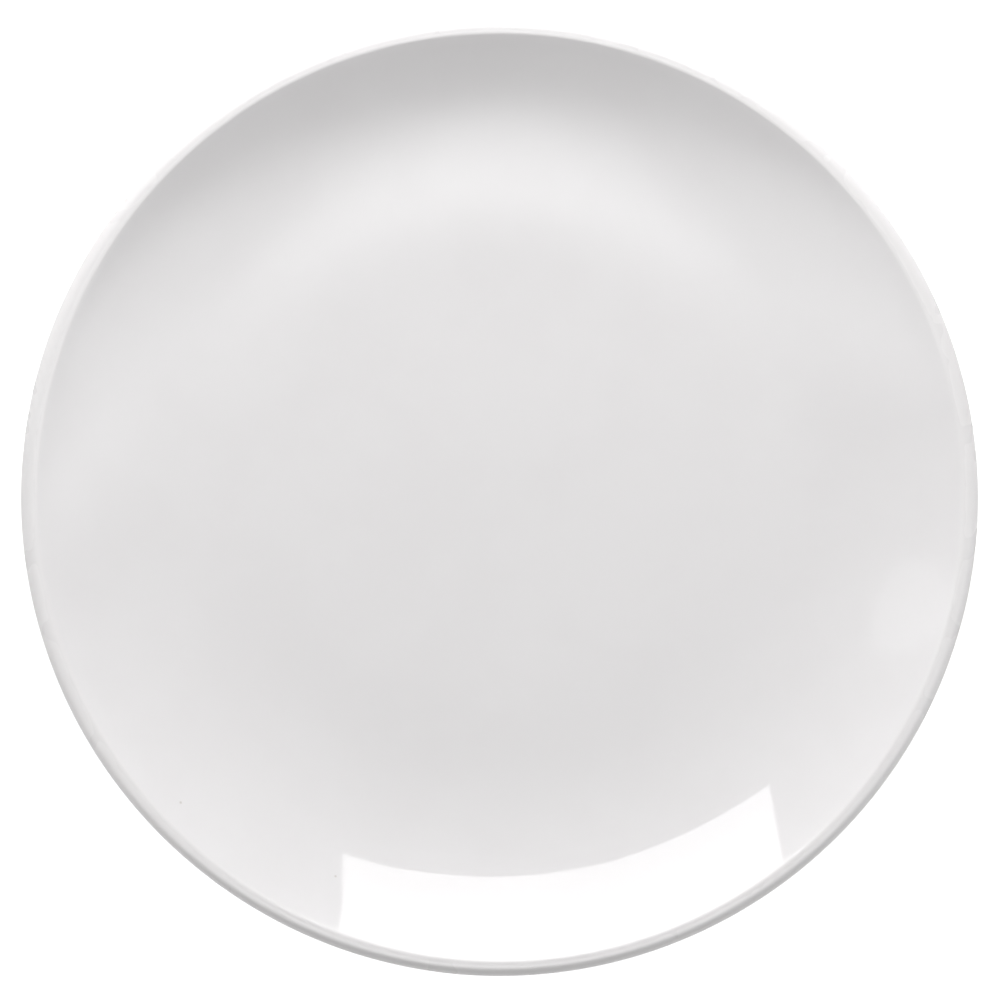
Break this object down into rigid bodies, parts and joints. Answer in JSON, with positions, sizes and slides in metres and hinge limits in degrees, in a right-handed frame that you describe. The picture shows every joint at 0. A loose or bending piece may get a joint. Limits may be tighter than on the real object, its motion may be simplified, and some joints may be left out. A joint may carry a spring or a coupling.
{
  "type": "coupe salad plate",
  "caption": "Round coupe salad plate in white glazed porcelain: a flat well, a wall that sweeps up to a rounded lip, and a low foot ring with a bare seat.",
  "frame": {"origin": "centre of the foot ring on the plane of the table that it stands on", "axes": "+Z along the plate's axis of turning, out of the well; X and Y lie in the table and are alike"},
  "size_m": [0.21, 0.21, 0.025],
  "materials": {
    "bare_porcelain": "matte",
    "white_glaze": "gloss",
    "recess_glaze": "gloss"
  },
  "bodies": {
    "root": {"porcelain_body": "bare_porcelain", "face_and_outside_glaze": "white_glaze", "foot_recess_glaze": "recess_glaze"}
  },
  "joints": []
}
